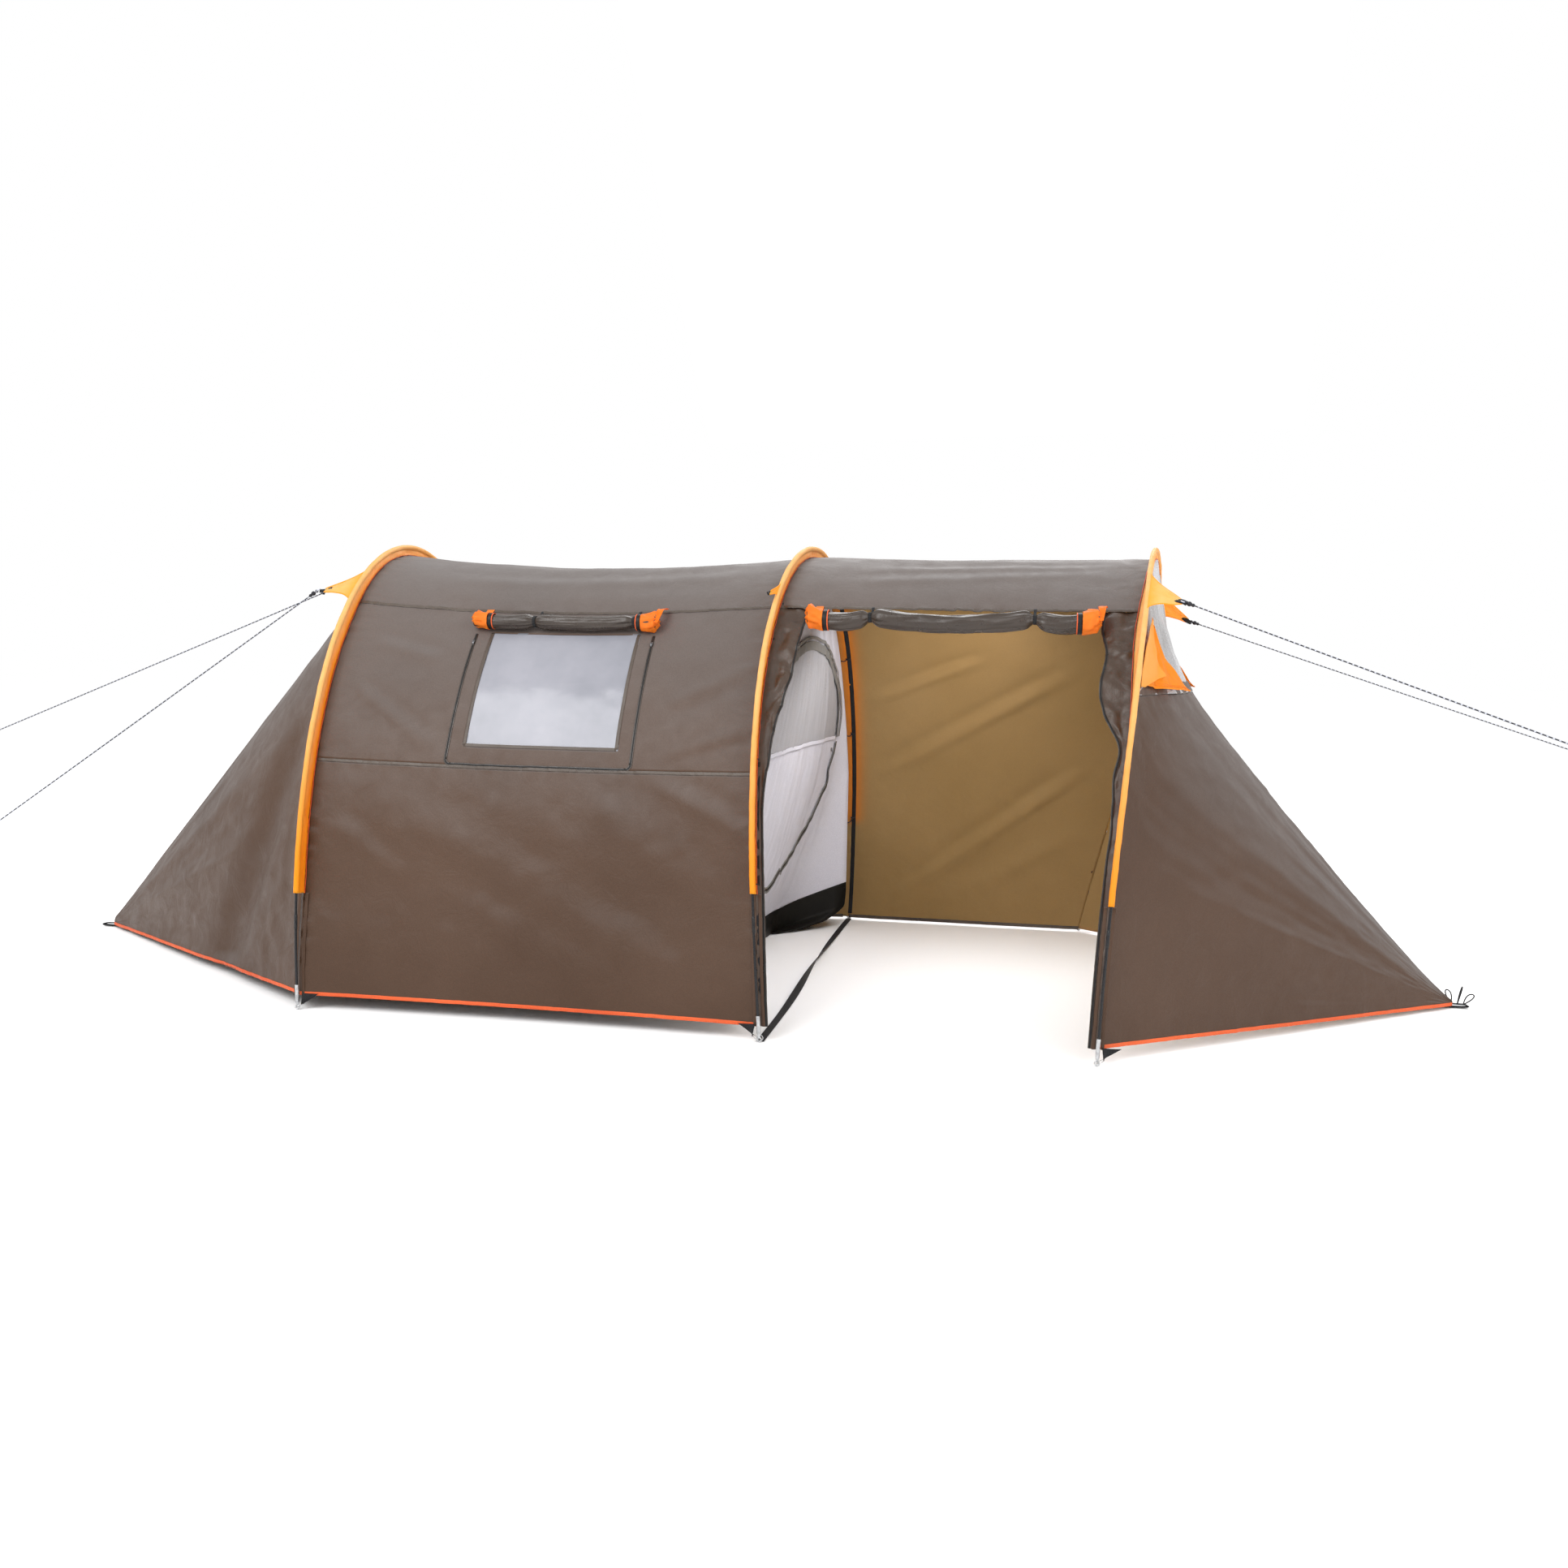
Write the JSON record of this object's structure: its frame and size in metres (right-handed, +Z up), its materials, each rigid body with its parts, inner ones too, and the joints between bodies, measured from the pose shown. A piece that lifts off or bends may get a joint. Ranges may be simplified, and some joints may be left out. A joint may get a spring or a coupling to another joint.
{
  "type": "tunnel tent",
  "caption": "Tunnel tent on black hoop poles in orange sleeves, with a hung inner bedroom, a roll-up side door, a clear side window, a vented end wedge and taut guylines.",
  "frame": {"origin": "on the ground, midway between the wedge points and midway between the pole feet", "axes": "+Z up; +X along the tent from the rear bedroom wedge to the front wedge; -Y is the side with the door and window"},
  "size_m": [5.9743, 1.9892, 1.537],
  "materials": {
    "fly_cloth": "taupe coated polyester with a slight sheen",
    "orange_cloth": "thin orange polyester, slightly translucent",
    "inner_cloth": "white breathable polyester",
    "mesh_cloth": "grey insect mesh",
    "groundsheet_cloth": "black woven polyethylene",
    "webbing": "black flat woven webbing",
    "guyline": "dark braided cord with pale flecks",
    "clear_film": "clear soft window film",
    "pole_rod": "black wrapped fibreglass rod",
    "pin_steel": "zinc-plated steel, lightly scratched",
    "slider_metal": "dark zip slider metal",
    "black_plastic": "moulded black plastic"
  },
  "bodies": {
    "tent": {"rear_pole": "pole_rod", "rear_sleeve": "orange_cloth", "rear_pole_end_near": "pin_steel", "rear_tab_near": "orange_cloth", "rear_pole_end_far": "pin_steel", "rear_tab_far": "orange_cloth", "middle_pole": "pole_rod", "middle_sleeve": "orange_cloth", "middle_pole_end_near": "pin_steel", "middle_tab_near": "orange_cloth", "middle_pole_end_far": "pin_steel", "middle_tab_far": "orange_cloth", "front_pole": "pole_rod", "front_sleeve": "orange_cloth", "front_pole_end_near": "pin_steel", "front_tab_near": "orange_cloth", "front_pole_end_far": "pin_steel", "front_tab_far": "orange_cloth", "rear_roof": "fly_cloth", "front_roof": "fly_cloth", "rear_wall_far": "fly_cloth", "front_wall_far": "fly_cloth", "rear_wall_near_lower": "fly_cloth", "rear_wall_near_upper": "fly_cloth", "door_jamb_rear": "fly_cloth", "door_jamb_front": "fly_cloth", "rear_wedge_near": "fly_cloth", "rear_wedge_far": "fly_cloth", "front_wedge_near": "fly_cloth", "front_wedge_far": "fly_cloth", "window_cover_roll": "fly_cloth", "door_flap_roll": "fly_cloth", "vent_hood_near": "orange_cloth", "vent_hood_far": "orange_cloth", "window_pane": "clear_film", "vent_mesh": "mesh_cloth", "inner_half_moon_mesh": "mesh_cloth", "inner_front_wall": "inner_cloth", "inner_canopy": "inner_cloth", "inner_rear_wall": "inner_cloth", "inner_groundsheet": "groundsheet_cloth", "rear_point_loop": "webbing", "front_point_loop": "webbing", "middle_floor_strap": "webbing", "rear_cord_side": "guyline", "rear_cord_end": "guyline", "front_cord_near": "guyline", "front_cord_far": "guyline"},
    "rear_ring_near": {"rear_ring_near": "pin_steel"},
    "rear_ring_far": {"rear_ring_far": "pin_steel"},
    "middle_ring_near": {"middle_ring_near": "pin_steel"},
    "middle_ring_far": {"middle_ring_far": "pin_steel"},
    "front_ring_near": {"front_ring_near": "pin_steel"},
    "front_ring_far": {"front_ring_far": "pin_steel"},
    "rear_runner_side": {"rear_runner_side": "black_plastic"},
    "front_runner_near": {"front_runner_near": "black_plastic"},
    "front_runner_far": {"front_runner_far": "black_plastic"},
    "window_slider_rear": {"window_slider_rear": "slider_metal"},
    "window_slider_front": {"window_slider_front": "slider_metal"},
    "inner_door_slider": {"inner_door_slider": "slider_metal"}
  },
  "joints": [
    {"name": "rear_ring_near_swing", "type": "hinge", "parent": "tent", "child": "rear_ring_near", "pos_m": [-1.16139, -0.9753, 0.009], "axis": [0, 1, 0], "range_deg": [-15, 15]},
    {"name": "rear_ring_far_swing", "type": "hinge", "parent": "tent", "child": "rear_ring_far", "pos_m": [-1.16139, 0.9753, 0.009], "axis": [0, 1, 0], "range_deg": [-15, 15]},
    {"name": "middle_ring_near_swing", "type": "hinge", "parent": "tent", "child": "middle_ring_near", "pos_m": [0.34031, -0.9753, 0.009], "axis": [0, 1, 0], "range_deg": [-15, 15]},
    {"name": "middle_ring_far_swing", "type": "hinge", "parent": "tent", "child": "middle_ring_far", "pos_m": [0.3415, 0.9753, 0.009], "axis": [0, 1, 0], "range_deg": [-15, 15]},
    {"name": "front_ring_near_swing", "type": "hinge", "parent": "tent", "child": "front_ring_near", "pos_m": [1.32422, -0.9753, 0.009], "axis": [0, 1, 0], "range_deg": [-15, 15]},
    {"name": "front_ring_far_swing", "type": "hinge", "parent": "tent", "child": "front_ring_far", "pos_m": [1.32576, 0.9753, 0.009], "axis": [0, 1, 0], "range_deg": [-15, 15]},
    {"name": "rear_runner_side_slide", "type": "slide", "parent": "tent", "child": "rear_runner_side", "axis": [-0.6865, -0.3882, -0.6148], "range_m": [0, 0.25]},
    {"name": "front_runner_near_slide", "type": "slide", "parent": "tent", "child": "front_runner_near", "axis": [0.8568, -0.3879, -0.3399], "range_m": [0, 0.25]},
    {"name": "front_runner_far_slide", "type": "slide", "parent": "tent", "child": "front_runner_far", "axis": [0.9408, 0.1559, -0.3011], "range_m": [0, 0.25]},
    {"name": "window_slider_rear_run", "type": "hinge", "parent": "tent", "child": "window_slider_rear", "pos_m": [0, 0.5215, 0.2821], "axis": [1, 0, 0], "range_deg": [0, 18]},
    {"name": "window_slider_front_run", "type": "hinge", "parent": "tent", "child": "window_slider_front", "pos_m": [0, 0.5216, 0.2833], "axis": [1, 0, 0], "range_deg": [0, 18]},
    {"name": "inner_door_slider_run", "type": "slide", "parent": "tent", "child": "inner_door_slider", "axis": [0.1092, -0.3581, 0.9273], "range_m": [0, 0.249]}
  ]
}
